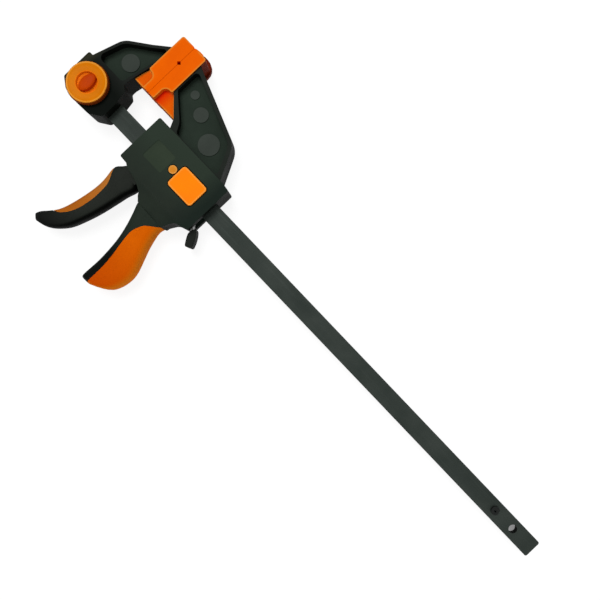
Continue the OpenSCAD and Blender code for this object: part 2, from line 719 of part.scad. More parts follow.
// A bent steel plate round the bar; it leans on the ledge and its tail leaves the housing
module brake_lever() {
    x0 = brake_x;
    x1 = brake_x + brake_t;
    color(bright_steel) translate([fulcrum.x, fulcrum.y, 0])
        rotate(brake_slant)
            difference() {
                union() {
                    box(x0, x1, brake_bend, brake_top, -lever_w / 2, lever_w / 2);
                    slab(tail_points(), tail_w);
                }
                box(x0 - 1, x1 + 1, up_plate(-half_bar, x1) - slide_gap - 0.3,
                    up_plate(half_bar, x0) + slide_gap + 0.3, -bar_slot_z, bar_slot_z);
            }
}

// The inner corner of a strip of thickness t where it bends from direction e to f
function mitre(e, f, t) = let (m = [-e.y, e.x], n = [-f.y, f.x]) (m + n) * t / (1 + m * n);
function tail_points() = let (a = tail_slant - brake_slant, t = brake_t, d = [sin(a), -cos(a)],
    n = [cos(a), sin(a)], e = tail_jog / norm(tail_jog), p = [brake_x, brake_bend], q = p + tail_jog,
    top = mitre([0, -1], e, t))
    [p, q, q + d * tail_l, q + d * tail_l + n * t, q + mitre(e, d, t), p + top, p + [0, top.y]];

module release_tab() {
    a = tail_slant - brake_slant;
    grip = (tab_w - brake_t) / 2;
    color(black) translate([fulcrum.x, fulcrum.y, 0])
        rotate(brake_slant)
            translate([brake_x + tail_jog.x, brake_bend + tail_jog.y, 0])
                rotate(a - 90)
                    difference() {
                        slab(rounded([[5, -grip, 1], [tail_l + 3, -grip, 3], [tail_l + 3, brake_t + grip, 3],
                            [5, brake_t + grip, 1]]), lever_w);
                        box(0, tail_l + seat_gap, -seat_gap, brake_t + seat_gap,
                            -tail_w / 2 - seat_gap, tail_w / 2 + seat_gap);
                    }
}

function button_corners(grow) = let (x = button_x - grow, y = button_y - button_w / 2 - grow,
    l = button_l + 2 * grow, w = button_w + 2 * grow, r = 3.5 + grow)
    rounded([[x, y, r], [x + l, y, r], [x + l, y + w, r], [x, y + w, r]]);

module release_button() {
    color(orange) {
        prism(button_corners(0), button_z, block_t / 2 + button_proud);
        prism(button_corners(button_rim), button_z, button_z + button_rim_t);
    }
}

bar();
stop_pin();
fixed_jaw();
fixed_pad();
lock_bush();
lock_knob();
knob_tab();
lock_pin();
lock_clip();
front_shell();
back_shell();
shell_screws();
moving_pad();
handle_core();
handle_grip();
trigger_pin();
front_plug();
drive_spring();
brake_spring();
button_spring();
trigger();
trigger_insert();
drive_lever();
brake_lever();
release_tab();
release_button();
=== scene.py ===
import json
import math

import bmesh
import bpy
from mathutils import Matrix, Vector


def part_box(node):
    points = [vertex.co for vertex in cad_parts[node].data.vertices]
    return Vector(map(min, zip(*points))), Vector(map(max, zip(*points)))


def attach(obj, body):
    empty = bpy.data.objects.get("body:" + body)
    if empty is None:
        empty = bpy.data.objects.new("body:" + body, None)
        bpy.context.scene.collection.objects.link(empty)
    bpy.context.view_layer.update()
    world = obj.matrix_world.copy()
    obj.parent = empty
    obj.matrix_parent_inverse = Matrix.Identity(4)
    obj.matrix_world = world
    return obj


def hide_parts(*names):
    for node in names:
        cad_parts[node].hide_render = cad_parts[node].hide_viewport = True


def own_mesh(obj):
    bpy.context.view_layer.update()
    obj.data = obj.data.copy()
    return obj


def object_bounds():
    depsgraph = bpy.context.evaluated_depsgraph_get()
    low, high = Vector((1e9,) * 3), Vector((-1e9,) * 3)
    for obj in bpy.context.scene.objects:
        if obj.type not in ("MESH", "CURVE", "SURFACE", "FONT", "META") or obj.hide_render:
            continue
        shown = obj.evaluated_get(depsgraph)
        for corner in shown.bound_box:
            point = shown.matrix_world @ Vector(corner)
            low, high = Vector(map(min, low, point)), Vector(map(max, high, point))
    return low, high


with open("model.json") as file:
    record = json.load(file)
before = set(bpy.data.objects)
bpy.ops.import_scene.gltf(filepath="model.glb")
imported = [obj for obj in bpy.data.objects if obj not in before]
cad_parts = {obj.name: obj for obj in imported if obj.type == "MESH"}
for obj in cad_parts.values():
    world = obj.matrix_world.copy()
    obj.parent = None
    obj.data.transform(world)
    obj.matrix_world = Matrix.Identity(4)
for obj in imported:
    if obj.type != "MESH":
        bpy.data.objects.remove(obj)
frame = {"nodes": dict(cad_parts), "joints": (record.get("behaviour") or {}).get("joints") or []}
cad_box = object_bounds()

# Camera. The clamp lies on its back and is seen from straight above, with the bar
# running down to the right.
camera = bpy.data.objects.new("camera", bpy.data.cameras.new("camera"))
camera.data.sensor_width = 36
camera.data.lens = 40.86
camera.location = (0.2582, 0.00414, 0.710)
camera.rotation_euler = (0, 0, math.radians(46.36))
bpy.context.scene.collection.objects.link(camera)
bpy.context.scene.camera = camera
bpy.context.scene.view_settings.view_transform = "Standard"

# Room: a soft white surround, one broad lamp over the knob's side and a weak one over
# the other side. Seen directly or in a reflection, the surround is plain white.
lamp_level = 2.0
fill_level = 0.7
surround_level = 0.3


def link(tree, source, target):
    tree.links.new(source, target)


def maths(tree, operation, first, second=None):
    """The result of one sum on sockets or numbers"""
    node = tree.nodes.new("ShaderNodeMath")
    node.operation = operation
    for socket, value in zip(node.inputs, (first, second)):
        if isinstance(value, (int, float)):
            socket.default_value = value
        elif value is not None:
            link(tree, value, socket)
    return node.outputs[0]


def spread(tree, value, low, high, start=0.3, stop=0.7):
    """Maps a value between start and stop onto low to high"""
    node = tree.nodes.new("ShaderNodeMapRange")
    for name, number in (("From Min", start), ("From Max", stop),
                         ("To Min", low), ("To Max", high)):
        node.inputs[name].default_value = number
    link(tree, value, node.inputs["Value"])
    return node.outputs["Result"]


def seen_rays(tree):
    """1 where the ray comes from the camera or a mirror-like surface, otherwise 0"""
    path = tree.nodes.new("ShaderNodeLightPath")
    reflected = maths(tree, "MAXIMUM", path.outputs["Is Glossy Ray"],
                      path.outputs["Is Transmission Ray"])
    return maths(tree, "MAXIMUM", path.outputs["Is Camera Ray"], reflected)


world = bpy.data.worlds.new("surround")
world.use_nodes = True
bpy.context.scene.world = world
sky = world.node_tree
background = sky.nodes["Background"]
background.inputs["Color"].default_value = (1, 1, 1, 1)
link(sky, spread(sky, seen_rays(sky), surround_level, 1, 0, 1), background.inputs["Strength"])

for lamp_name, level, towards, softness in (
        ("window_lamp", lamp_level, (-0.4, 0.15, 1.2), 26),
        ("far_side_lamp", fill_level, (0.75, -0.25, 1), 60)):
    lamp = bpy.data.objects.new(lamp_name, bpy.data.lights.new(lamp_name, "SUN"))
    lamp.data.energy = level
    lamp.data.angle = math.radians(softness)
    lamp.rotation_euler = Vector(towards).to_track_quat("Z", "Y").to_euler()
    bpy.context.scene.collection.objects.link(lamp)

# Floor: a white table top just under the clamp. It glows for the camera as far as its
# paint falls short of white, so the clamp's soft shadow stays. Under the bar the glow is
# dimmed into a painted shadow strip, which shows through the bar's end hole.
floor_drop = 0.0004
shade_ends = (-0.032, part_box("bar")[1][0])
shade_core = 0.003
shade_edge = 0.009
shade_fade = 0.01
shade_glow = 0.2
open_glow = 0.87


def coordinate(tree, axis, kind="Object"):
    """One number of a point's place in its object, or of its normal"""
    place = tree.nodes.new("ShaderNodeTexCoord")
    parts = tree.nodes.new("ShaderNodeSeparateXYZ")
    link(tree, place.outputs[kind], parts.inputs[0])
    return parts.outputs[axis]


floor_mesh = bpy.data.meshes.new("floor")
floor_z = cad_box[0][2] - floor_drop
floor_mesh.from_pydata([(x, y, floor_z) for x, y in ((-5, -5), (6, -5), (6, 5), (-5, 5))],
                       [], [(0, 1, 2, 3)])
floor = bpy.data.objects.new("floor", floor_mesh)
bpy.context.scene.collection.objects.link(floor)
table_top = bpy.data.materials.new("table_top")
table_top.use_nodes = True
tree = table_top.node_tree
tree.nodes.remove(tree.nodes["Principled BSDF"])
paint = tree.nodes.new("ShaderNodeBsdfDiffuse")
paint.inputs["Color"].default_value = (0.8, 0.8, 0.8, 1)
thin_paint = tree.nodes.new("ShaderNodeBsdfDiffuse")
thin_paint.inputs["Color"].default_value = (0.16, 0.16, 0.16, 1)
glow = tree.nodes.new("ShaderNodeEmission")
shade_half = (shade_ends[1] - shade_ends[0]) / 2
# Painted shadow: the glow falls to shade_glow in a strip along the bar's length.
aside = maths(tree, "ABSOLUTE", coordinate(tree, "Y"))
along_bar = maths(tree, "SUBTRACT", coordinate(tree, "X"), sum(shade_ends) / 2)
beside = spread(tree, aside, shade_glow, open_glow, shade_core, shade_edge)
beyond = spread(tree, maths(tree, "ABSOLUTE", along_bar), 0, open_glow,
                shade_half - shade_fade, shade_half)
link(tree, maths(tree, "MAXIMUM", beside, beyond), glow.inputs["Strength"])
glowing_paint = tree.nodes.new("ShaderNodeAddShader")
link(tree, thin_paint.outputs[0], glowing_paint.inputs[0])
link(tree, glow.outputs[0], glowing_paint.inputs[1])
pick = tree.nodes.new("ShaderNodeMixShader")
link(tree, seen_rays(tree), pick.inputs[0])
link(tree, paint.outputs[0], pick.inputs[1])
link(tree, glowing_paint.outputs[0], pick.inputs[2])
link(tree, pick.outputs[0], tree.nodes["Material Output"].inputs["Surface"])
floor_mesh.materials.append(table_top)

# Bar: a drawn flat of steel, blackened, with its edges broken and rubbed by the housing
# that slides on it. It is drilled for the lock pin and near the free end, and the walls of
# its holes are painted near-black as shade.
def srgb(r, g, b):
    """A colour in 0 to 255 as the linear numbers that a shader reads"""
    return tuple(((c / 255 + 0.055) / 1.055) ** 2.4 if c > 10 else c / 255 / 12.92
                 for c in (r, g, b)) + (1,)


def noise(tree, scale, stretch=(1, 1, 1), detail=3, roughness=0.5):
    """Noise on Object coordinates; scale is in cells per metre"""
    place = tree.nodes.new("ShaderNodeTexCoord")
    turn = tree.nodes.new("ShaderNodeMapping")
    turn.inputs["Scale"].default_value = stretch
    grain = tree.nodes.new("ShaderNodeTexNoise")
    grain.inputs["Scale"].default_value = scale
    grain.inputs["Detail"].default_value = detail
    grain.inputs["Roughness"].default_value = roughness
    link(tree, place.outputs["Object"], turn.inputs["Vector"])
    link(tree, turn.outputs["Vector"], grain.inputs["Vector"])
    return grain.outputs["Fac"]


def blend(tree, amount, first, second):
    """Colour between two colours or colour outputs"""
    node = tree.nodes.new("ShaderNodeMix")
    node.data_type = "RGBA"
    link(tree, amount, node.inputs["Factor"])
    for socket, value in ((node.inputs[6], first), (node.inputs[7], second)):
        if isinstance(value, tuple):
            socket.default_value = value
        else:
            link(tree, value, socket)
    return node.outputs[2]


def bump(tree, height, depth):
    """Relief of a depth in metres"""
    node = tree.nodes.new("ShaderNodeBump")
    node.inputs["Distance"].default_value = depth
    link(tree, height, node.inputs["Height"])
    return node.outputs["Normal"]


def finish(name, **fixed):
    """A new material, its tree and its shader; fixed sets plain numbers on the shader"""
    material = bpy.data.materials.new(name)
    material.use_nodes = True
    shader = material.node_tree.nodes["Principled BSDF"]
    for socket, value in fixed.items():
        shader.inputs[socket.replace("_", " ")].default_value = value
    return material, material.node_tree, shader


def shaded(mesh, corner=30):
    """Smooth faces, with a sharp line wherever two of them meet at more than corner"""
    form = bmesh.new()
    form.from_mesh(mesh)
    for face in form.faces:
        face.smooth = True
    for line in form.edges:
        line.smooth = line.calc_face_angle(0) < math.radians(corner)
    form.to_mesh(mesh)
    form.free()


def edged(piece, edge, corner=30, segments=2, bright=None):
    """Rounds a piece's sharp edges; bright is the number of its material for them"""
    rounding = piece.modifiers.new("rounding", "BEVEL")
    rounding.width = edge
    rounding.segments = segments
    rounding.limit_method = "ANGLE"
    rounding.angle_limit = math.radians(corner)
    rounding.use_clamp_overlap = True
    rounding.harden_normals = True
    if bright is not None:
        rounding.material = bright


def fitted(piece, node, body):
    """Puts a finished piece in the place of a CAD node"""
    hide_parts(node)
    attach(piece, body)


def dressed(node, body, materials, edge=0.0005, segments=2, bright=None, choose=None,
            cutters=()):
    """A copy of a CAD node, its triangles joined and its edges rounded. choose gives the
    number of a face's material from its centre in millimetres and its direction, and the
    cutters are solids that sink a groove in it."""
    mesh = frame["nodes"][node].data.copy()
    if "custom_normal" in mesh.attributes:
        mesh.attributes.remove(mesh.attributes["custom_normal"])
    mesh.materials.clear()
    for material in materials:
        mesh.materials.append(material)
    form = bmesh.new()
    form.from_mesh(mesh)
    bmesh.ops.remove_doubles(form, verts=form.verts, dist=2e-6)
    bmesh.ops.dissolve_limit(form, angle_limit=math.radians(0.6), verts=form.verts,
                             edges=form.edges)
    if choose:
        for face in form.faces:
            face.material_index = choose(face.calc_center_median() * 1000, face.normal)
    form.to_mesh(mesh)
    form.free()
    shaded(mesh)
    piece = bpy.data.objects.new(node + "_piece", mesh)
    bpy.context.scene.collection.objects.link(piece)
    for cutter in cutters:
        joined(piece, cutter, "DIFFERENCE")
    if edge:
        edged(piece, edge, segments=segments, bright=bright)
    fitted(piece, node, body)
    return piece


blackened, tree, shader = finish("blackened_steel", Metallic=0.35, Specular_IOR_Level=0.15)
cloud = noise(tree, 40, detail=4)
streak = noise(tree, 900, stretch=(0.02, 1, 1), detail=4, roughness=0.65)
tone = blend(tree, spread(tree, cloud, 0, 1), srgb(30, 37, 33), srgb(41, 47, 43))
tone = blend(tree, spread(tree, streak, 0, 0.3, 0.5, 0.75), tone, srgb(62, 68, 64))
link(tree, tone, shader.inputs["Base Color"])
link(tree, spread(tree, streak, 0.48, 0.66), shader.inputs["Roughness"])
link(tree, bump(tree, streak, 0.00004), shader.inputs["Normal"])
# The hole walls' material is a painted shade: near-black and speckled, with a faint grain.
hole_wall_shade, tree, shader = finish("painted_shade_in_the_holes", Metallic=0.2, Specular_IOR_Level=0.02)
hole_speckle = noise(tree, 1500)
link(tree, blend(tree, hole_speckle, srgb(9, 11, 10), srgb(22, 24, 22)), shader.inputs["Base Color"])
link(tree, spread(tree, hole_speckle, 0.6, 0.8), shader.inputs["Roughness"])
link(tree, bump(tree, hole_speckle, 0.00004), shader.inputs["Normal"])
side_strip = 3
end_strip = 1


def corners(node):
    """The low and the high corner of a CAD node's box, in millimetres"""
    return [Vector(corner) * 1000 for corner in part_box(node)]


bar_low, bar_high = corners("bar")


def bar_faces(centre, normal):
    """Drawn faces 0, walls of the drilled holes 1, painted near-black as shade"""
    return int(abs(normal.z) < 0.5 and abs(centre.y) < bar_high.y - side_strip
               and bar_low.x + end_strip < centre.x < bar_high.x - end_strip)


dressed("bar", "bar", [blackened, hole_wall_shade], edge=0.0006, choose=bar_faces)

# Stop pin: a spring pin coiled from sheet steel and driven into the inner end hole, so
# that the moving jaw can't run off the bar.
dark_pin, tree, shader = finish("oiled_pin_steel", Metallic=0.5, Specular_IOR_Level=0.1)
swirl = noise(tree, 1200, stretch=(1, 1, 0.1), detail=2)
link(tree, blend(tree, swirl, srgb(16, 18, 17), srgb(34, 36, 35)), shader.inputs["Base Color"])
link(tree, spread(tree, swirl, 0.45, 0.6), shader.inputs["Roughness"])
link(tree, bump(tree, swirl, 0.00002), shader.inputs["Normal"])
pin_sheet = 0.9
pin_turns = 3.4
pin_gap = 0.1
pin_joggle = 0.2
pin_low, pin_high = corners("stop_pin")
pin_middle = (pin_low.x + pin_high.x) / 2
pin_radius = (pin_high.x - pin_low.x) / 2


def solid(name, points, faces, materials):
    """A closed mesh from points in millimetres, with its faces turned outwards"""
    mesh = bpy.data.meshes.new(name)
    mesh.from_pydata([Vector(point) / 1000 for point in points], [], faces)
    form = bmesh.new()
    form.from_mesh(mesh)
    bmesh.ops.remove_doubles(form, verts=form.verts, dist=1e-6)
    bmesh.ops.dissolve_degenerate(form, edges=form.edges, dist=1e-7)
    bmesh.ops.recalc_face_normals(form, faces=form.faces)
    form.to_mesh(mesh)
    form.free()
    shaded(mesh)
    for material in materials:
        mesh.materials.append(material)
    piece = bpy.data.objects.new(name, mesh)
    bpy.context.scene.collection.objects.link(piece)
    return piece


def rings(rows, closed_ends=True):
    """The points of a stack of equally long rings, and the faces between and on them"""
    count = len(rows[0])
    faces = [(i * count + j, i * count + (j + 1) % count,
              (i + 1) * count + (j + 1) % count, (i + 1) * count + j)
             for i in range(len(rows) - 1) for j in range(count)]
    if closed_ends:
        last = (len(rows) - 1) * count
        faces += [tuple(range(count)), tuple(range(last, last + count))]
    return [point for row in rows for point in row], faces


def cell_ends(faces, count, total):
    """Ends of a ring that runs out along one line and back along another, in four-sided cells"""
    for base in (0, total - count):
        faces += [(base + j, base + j + 1, base + count - 2 - j, base + count - 1 - j)
                  for j in range(count // 2 - 1)]
    return faces


coil_out, coil_in = [], []
coil_steps = 136
coil_start = 0.1
for step in range(coil_steps + 1):
    layer, share = divmod(pin_turns * step / coil_steps, 1)
    layer += max(share - 1 + pin_joggle, 0) / pin_joggle
    angle = 2 * math.pi * (share + coil_start)
    outside = pin_radius - layer * (pin_sheet + pin_gap)
    for line, radius in ((coil_out, outside), (coil_in, outside - pin_sheet)):
        line.append((pin_middle + radius * math.cos(angle), radius * math.sin(angle)))
coil_ring = coil_out + coil_in[::-1]
points, faces = rings([[(x, y, z) for x, y in coil_ring] for z in (pin_low.z, pin_high.z)],
                      closed_ends=False)
stop_pin = solid("stop_pin_piece", points, cell_ends(faces, len(coil_ring), len(points)),
                 [dark_pin])
fitted(stop_pin, "stop_pin", "bar")

# Fixed jaw: glass-filled nylon, moulded in one piece and socketed over the bar's end,
# where the lock pin holds it. Rim and sides are smooth and black, the sunk web is grained
# and paler, and its round boss is the palest. The sides are painted near-black as shade,
# the rounded edges carry a painted highlight, and rim and socket are painted darker
# towards the bar as shade.
def moulded(name, dark, light, low=0.5, high=0.64, cell=0.0006, depth=0.00003, gloss=0.02,
            fade=None, edge_highlight=None):
    """Moulded plastic: a faint flow mottle over a fine spark-eroded grain. fade is Object or
    Normal, an axis, where a second colour starts and is full, and that colour, once for
    each such colour. edge_highlight is how far from an edge a painted highlight reaches, in
    metres, and its colour."""
    material, tree, shader = finish(name, Specular_IOR_Level=gloss)
    flow = noise(tree, 35, detail=4, roughness=0.55)
    grain = noise(tree, 1 / cell, detail=2)
    tone = blend(tree, spread(tree, flow, 0, 1), srgb(*dark), srgb(*light))
    if edge_highlight:
        reach, colour = edge_highlight
        rounded_off = tree.nodes.new("ShaderNodeBevel")
        rounded_off.samples = 8
        rounded_off.inputs["Radius"].default_value = reach
        surface = tree.nodes.new("ShaderNodeNewGeometry")
        likeness = tree.nodes.new("ShaderNodeVectorMath")
        likeness.operation = "DOT_PRODUCT"
        link(tree, surface.outputs["Normal"], likeness.inputs[0])
        link(tree, rounded_off.outputs[0], likeness.inputs[1])
        tone = blend(tree, spread(tree, likeness.outputs["Value"], 1, 0, 0.9, 0.998), tone,
                     srgb(*colour))
    for kind, axis, start, stop, colour in fade or ():
        share = spread(tree, coordinate(tree, axis, kind), 0, 1, start, stop)
        tone = blend(tree, share, tone, srgb(*colour))
    link(tree, tone, shader.inputs["Base Color"])
    link(tree, spread(tree, flow, low, high), shader.inputs["Roughness"])
    link(tree, bump(tree, grain, depth), shader.inputs["Normal"])
    return material


# Side walls are painted near-black as shade.
wall_shade_nylon = moulded("nylon_wall_painted_shade", (9, 12, 9), (15, 18, 15), cell=0.0004, depth=0.00001)
web_nylon = moulded("grained_black_nylon", (32, 41, 34), (42, 52, 44))
boss_nylon = moulded("boss_black_nylon", (52, 58, 53), (60, 66, 61))
# The bevelled edges of jaws and shells get a paler painted highlight.
edge_highlight_nylon = moulded("nylon_edge_painted_highlight", (26, 30, 27), (40, 44, 41), depth=0.00001)
web_face = 7
boss_face = 8


def jaw_faces(centre, normal):
    """Sides 0 in painted shade, web 1, bosses 2, rim 4, the level ones told apart by their height
    """
    height = abs(centre.z)
    if abs(normal.z) < 0.9:
        return 0
    if height > boss_face + 1:
        return 4
    return 2 if height > (web_face + boss_face) / 2 else 1


jaw_materials = [wall_shade_nylon, web_nylon, boss_nylon, edge_highlight_nylon]
# Rim and socket are painted darker towards the bar as shade, and paler towards the jaw's outer end.
socket_shade_nylon = moulded("socket_nylon_painted_shade", (23, 26, 23), (31, 34, 31), cell=0.0004, depth=0.00001,
                       fade=[("Object", 1, 0.03, 0.012, (7, 11, 8)),
                             ("Object", 0, -0.0615, -0.068, (44, 44, 33))])
dressed("fixed_jaw", "bar", jaw_materials + [socket_shade_nylon], edge=0.0007, bright=3,
        choose=jaw_faces)

# Lock bush: a turned steel ring pressed into the jaw's front, in which the lock pin turns.
# Its bore is reamed, and both ends are chamfered.
pin_steel, tree, shader = finish("ground_pin_steel", Metallic=0.9)
swirl = noise(tree, 1500, stretch=(1, 1, 0.1), detail=2)
link(tree, blend(tree, swirl, srgb(96, 99, 98), srgb(132, 135, 134)), shader.inputs["Base Color"])
link(tree, spread(tree, swirl, 0.3, 0.45), shader.inputs["Roughness"])
link(tree, bump(tree, swirl, 0.00002), shader.inputs["Normal"])
dressed("lock_bush", "bar", [pin_steel], edge=0.0002)

# Lock knob: an amber acetal disc, pressed onto the lock pin. Its face is dished inside a
# bevelled lip, with a round finger pocket, and fine flutes round its side give grip.
knob_x = sum(corner.x for corner in corners("lock_knob")) / 2
knob_flutes = 60
flute_depth = 0.35
knob_profile = [
    (3.98, 21.3, 0), (3.98, 18.3, 0), (20.6, 18.3, 0), (21.6, 19.2, 1), (21.65, 21.5, 1),
    (21.65, 23.6, 1), (21.4, 24.6, 0.5), (20.9, 25.6, 0), (20.3, 26.2, 0), (19.7, 26.3, 0),
    (19.1, 26.1, 0), (18.3, 25.8, 0), (15, 25.5, 0), (11.9, 25.4, 0), (11.1, 25.2, 0),
    (10.7, 24.6, 0), (10.5, 23.4, 0), (10.1, 22.6, 0), (9.3, 22.3, 0)]
lip_reach = 18.7
side_reach = 20
side_top = 25.4
pocket_reach = 11.6
pocket_floor = 21.4
knob_steps = knob_flutes * 6
knob_rows = []
for radius, height, fluted in knob_profile:
    row = []
    for step in range(knob_steps):
        angle = 2 * math.pi * step / knob_steps
        reach = radius + fluted * flute_depth * math.cos(knob_flutes * angle)
        row.append((knob_x + reach * math.cos(angle), reach * math.sin(angle), height))
    knob_rows.append(row)
knob_amber = moulded("knob_amber", (200, 108, 2), (212, 120, 4), low=0.3, high=0.42,
                     depth=0.00001)
# The lip is painted paler as a highlight.
knob_lip_highlight = moulded("knob_lip_painted_highlight", (214, 136, 36), (222, 144, 46), low=0.3, high=0.42,
                   depth=0.00001)
# The side is painted dark red-brown as shade.
knob_side_shade = moulded("knob_side_painted_shade", (112, 44, 8), (136, 58, 10), low=0.4, high=0.55,
                    depth=0.00001)
# The pocket floor is painted paler as painted light against the pocket's shade.
knob_pocket_light = moulded("knob_pocket_painted_light", (222, 108, 8), (232, 118, 14), low=0.35, high=0.5,
                     depth=0.00001)
knob = solid("lock_knob_piece", *rings(knob_rows), [knob_amber, knob_lip_highlight, knob_side_shade, knob_pocket_light])
# Side faces get the painted shade, lip faces the painted highlight, pocket floor the painted light.
for face in knob.data.polygons:
    centre = face.center * 1000
    reach = math.hypot(centre.x - knob_x, centre.y)
    if centre.z < side_top and reach > side_reach:
        face.material_index = 2
    elif reach > lip_reach:
        face.material_index = 1
    elif reach < pocket_reach and centre.z > pocket_floor:
        face.material_index = 3
fitted(knob, "lock_knob", "lock_knob")

# Knob tab: a lens-shaped thumb piece of darker orange, crowned on top. It stands in the
# pocket and is turned with thumb and finger.
tab_middle = (knob_x + 0.6, 0.4)
tab_half = (6.3, 10.791)
tab_pinch = 1.15
tab_steps = 72
tab_levels = [(1, 22.35), (1, 25.7), (0.985, 26.4), (0.94, 27.0), (0.85, 27.4), (0.65, 27.65),
              (0.4, 27.75), (0.15, 27.8)]
tab_rows = []
for scale, height in tab_levels:
    row = []
    for step in range(tab_steps):
        angle = 2 * math.pi * step / tab_steps
        across = abs(math.cos(angle)) ** tab_pinch * math.copysign(1, math.cos(angle))
        row.append((tab_middle[0] + scale * tab_half[0] * across,
                    tab_middle[1] + scale * tab_half[1] * math.sin(angle), height))
    tab_rows.append(row)
tab_orange = moulded("tab_orange", (172, 52, 0), (190, 66, 2), low=0.35, high=0.5)
knob_tab = solid("knob_tab_piece", *rings(tab_rows), [tab_orange])
fitted(knob_tab, "knob_tab", "lock_knob")

# Lock pin and its clip: the pin is ground steel and goes through jaw and bar. A sprung
# clip in a groove at the back keeps it there.
spring_steel, tree, shader = finish("spring_steel_wire", Metallic=0.9)
drawn_lines = noise(tree, 2200, detail=2)
tone = blend(tree, drawn_lines, srgb(78, 80, 82), srgb(112, 114, 116))
link(tree, tone, shader.inputs["Base Color"])
link(tree, spread(tree, drawn_lines, 0.28, 0.42), shader.inputs["Roughness"])
link(tree, bump(tree, drawn_lines, 0.00001), shader.inputs["Normal"])
dressed("lock_pin", "lock_knob", [pin_steel], edge=0.0003)
dressed("lock_clip", "lock_knob", [spring_steel], edge=0.0001)

# Pads: caps of soft orange rubber that snap over the two jaw tips, with a groove across
# each face for round stock and a foot under the jaw. The hood at the back and the outer
# sides are painted dark red as shade, the groove's walls and the long foot by the neck
# are painted red as shade, and the moulded edges carry a painted highlight.
# Painted highlight: the pads' edges are paler within this reach.
pad_edge_highlight = (0.0034, (214, 132, 44))
fixed_pad_orange, moving_pad_orange = (
    moulded(name, (222, 88, 0), (234, 98, 2), gloss=0.01, edge_highlight=pad_edge_highlight,
            fade=[("Object", 0, side * 0.007, side * 0.003, (228, 92, 0))])
    for name, side in (("fixed_pad_orange", -1), ("moving_pad_orange", 1)))
pad_foot_orange = moulded("pad_foot_orange", (212, 84, 2), (224, 92, 4), gloss=0.01, edge_highlight=pad_edge_highlight)
# Painted shadow: the moving pad's foot turns red towards the jaw's neck.
pad_long_foot_shade = moulded("pad_long_foot_painted_shadow", (212, 84, 2), (224, 92, 4), gloss=0.01,
                        edge_highlight=pad_edge_highlight, fade=[("Object", 0, 0.022, 0.0085, (206, 26, 0))])
pad_hood_painted_shade = moulded("pad_hood_painted_shade", (84, 22, 6), (102, 32, 10))
# The groove's slanted walls are painted red as shade.
pad_groove_painted_shade = moulded("pad_groove_painted_shade", (214, 26, 2), (226, 34, 2))
groove_y = 81
groove_half = 2.6
groove_depth = 2.7
roof_y = 103.7
hood_x = 15.5
foot_top_y = 60
foot_height = 14


def pad_faces(centre, normal):
    """Main body 0, foot 1, hood and outer sides 2 in painted shade, groove walls 3 in painted shade
    """
    outer_side = abs(normal.x) > 0.5 and centre.y > foot_top_y or centre.z < 1 - foot_height
    if centre.y > roof_y or abs(centre.x) > hood_x and outer_side:
        return 2
    in_groove = abs(centre.y - groove_y) < groove_half and abs(centre.x) < groove_depth
    if in_groove and abs(normal.z) < 0.5 and 0.3 < abs(normal.x) < 0.9:
        return 3
    return int(abs(normal.z) > 0.5 and abs(centre.z) < foot_height + 0.5
               and centre.y < foot_top_y)


for pad, body, orange, foot in (
        ("fixed_pad", "bar", fixed_pad_orange, pad_foot_orange),
        ("moving_pad", "moving_jaw", moving_pad_orange, pad_long_foot_shade)):
    dressed(pad, body, [orange, foot, pad_hood_painted_shade, pad_groove_painted_shade], edge=0.0008,
            segments=3, choose=pad_faces)

# Shells: the two moulded halves of moving jaw and housing, of the same nylon as the fixed
# jaw. Their underside is cut back over the trigger, and a narrow moat is sunk round
# button and plug.
front_face = corners("front_shell")[1].z
panel_low = 19
panel_high = 19.9
jaw_foot_y = 27
moat_depth = 0.8
button_moat_width = 1.1
button_flange = 1.4
button_corner = 3.5
button_low, button_high = corners("release_button")
button_middle = (button_low + button_high) / 2
plug_moat_width = 0.88
plug_low, plug_high = corners("front_plug")
plug_middle = (plug_low + plug_high) / 2
plug_radius = (plug_high.y - plug_low.y) / 2
cut_reach = 30
cut_away = [(50.8, -33.3), (52.5, -33), (56.6, -34.1), (61.5, -36.4), (65.4, -39), (67.1, -42.2),
            (69.9, -45), (70.9, -46.4), (70.9, -52), (48, -52), (48, -36)]
housing_nylon = moulded("housing_black_nylon", (31, 37, 32), (38, 45, 38),
                        fade=[("Object", 1, -0.025, 0.01, (41, 51, 42)),
                              ("Object", 0, 0.1, 0.122, (24, 33, 28))])
rim_nylon = moulded("rim_black_nylon", (28, 32, 28), (36, 40, 36), cell=0.0004, depth=0.00001)
panel_nylon = moulded("panel_black_nylon", (40, 50, 39), (48, 58, 46))


def shell_faces(centre, normal):
    """As on the fixed jaw, with the housing's front and back 5 and its bare panel 6"""
    if centre.y >= jaw_foot_y:
        return jaw_faces(centre, normal)
    if panel_low < centre.z < panel_high and normal.z > 0.9:
        return 6
    return 5 if abs(normal.z) > 0.5 else 0


def prism(name, outline, bottom, top, materials):
    """A flat-ended solid with an outline in the bar's plane"""
    rows = [[(x, y, z) for x, y in outline] for z in (bottom, top)]
    return solid(name, *rings(rows), materials)


def disc(name, x, y, radius, half, steps=48):
    """A round solid across the bar's plane, to merge or to cut with"""
    return prism(name, [(x + radius * math.cos(2 * math.pi * k / steps),
                         y + radius * math.sin(2 * math.pi * k / steps)) for k in range(steps)],
                 -half, half, [])


def joined(piece, other, operation="UNION"):
    """Merges another solid into a piece, or cuts it out, and removes the other"""
    step = piece.modifiers.new("step", "BOOLEAN")
    step.operation = operation
    step.object = other
    bpy.context.view_layer.update()
    graph = bpy.context.evaluated_depsgraph_get()
    piece.data = bpy.data.meshes.new_from_object(piece.evaluated_get(graph))
    piece.modifiers.remove(step)
    bpy.data.objects.remove(other)
    shaded(piece.data)


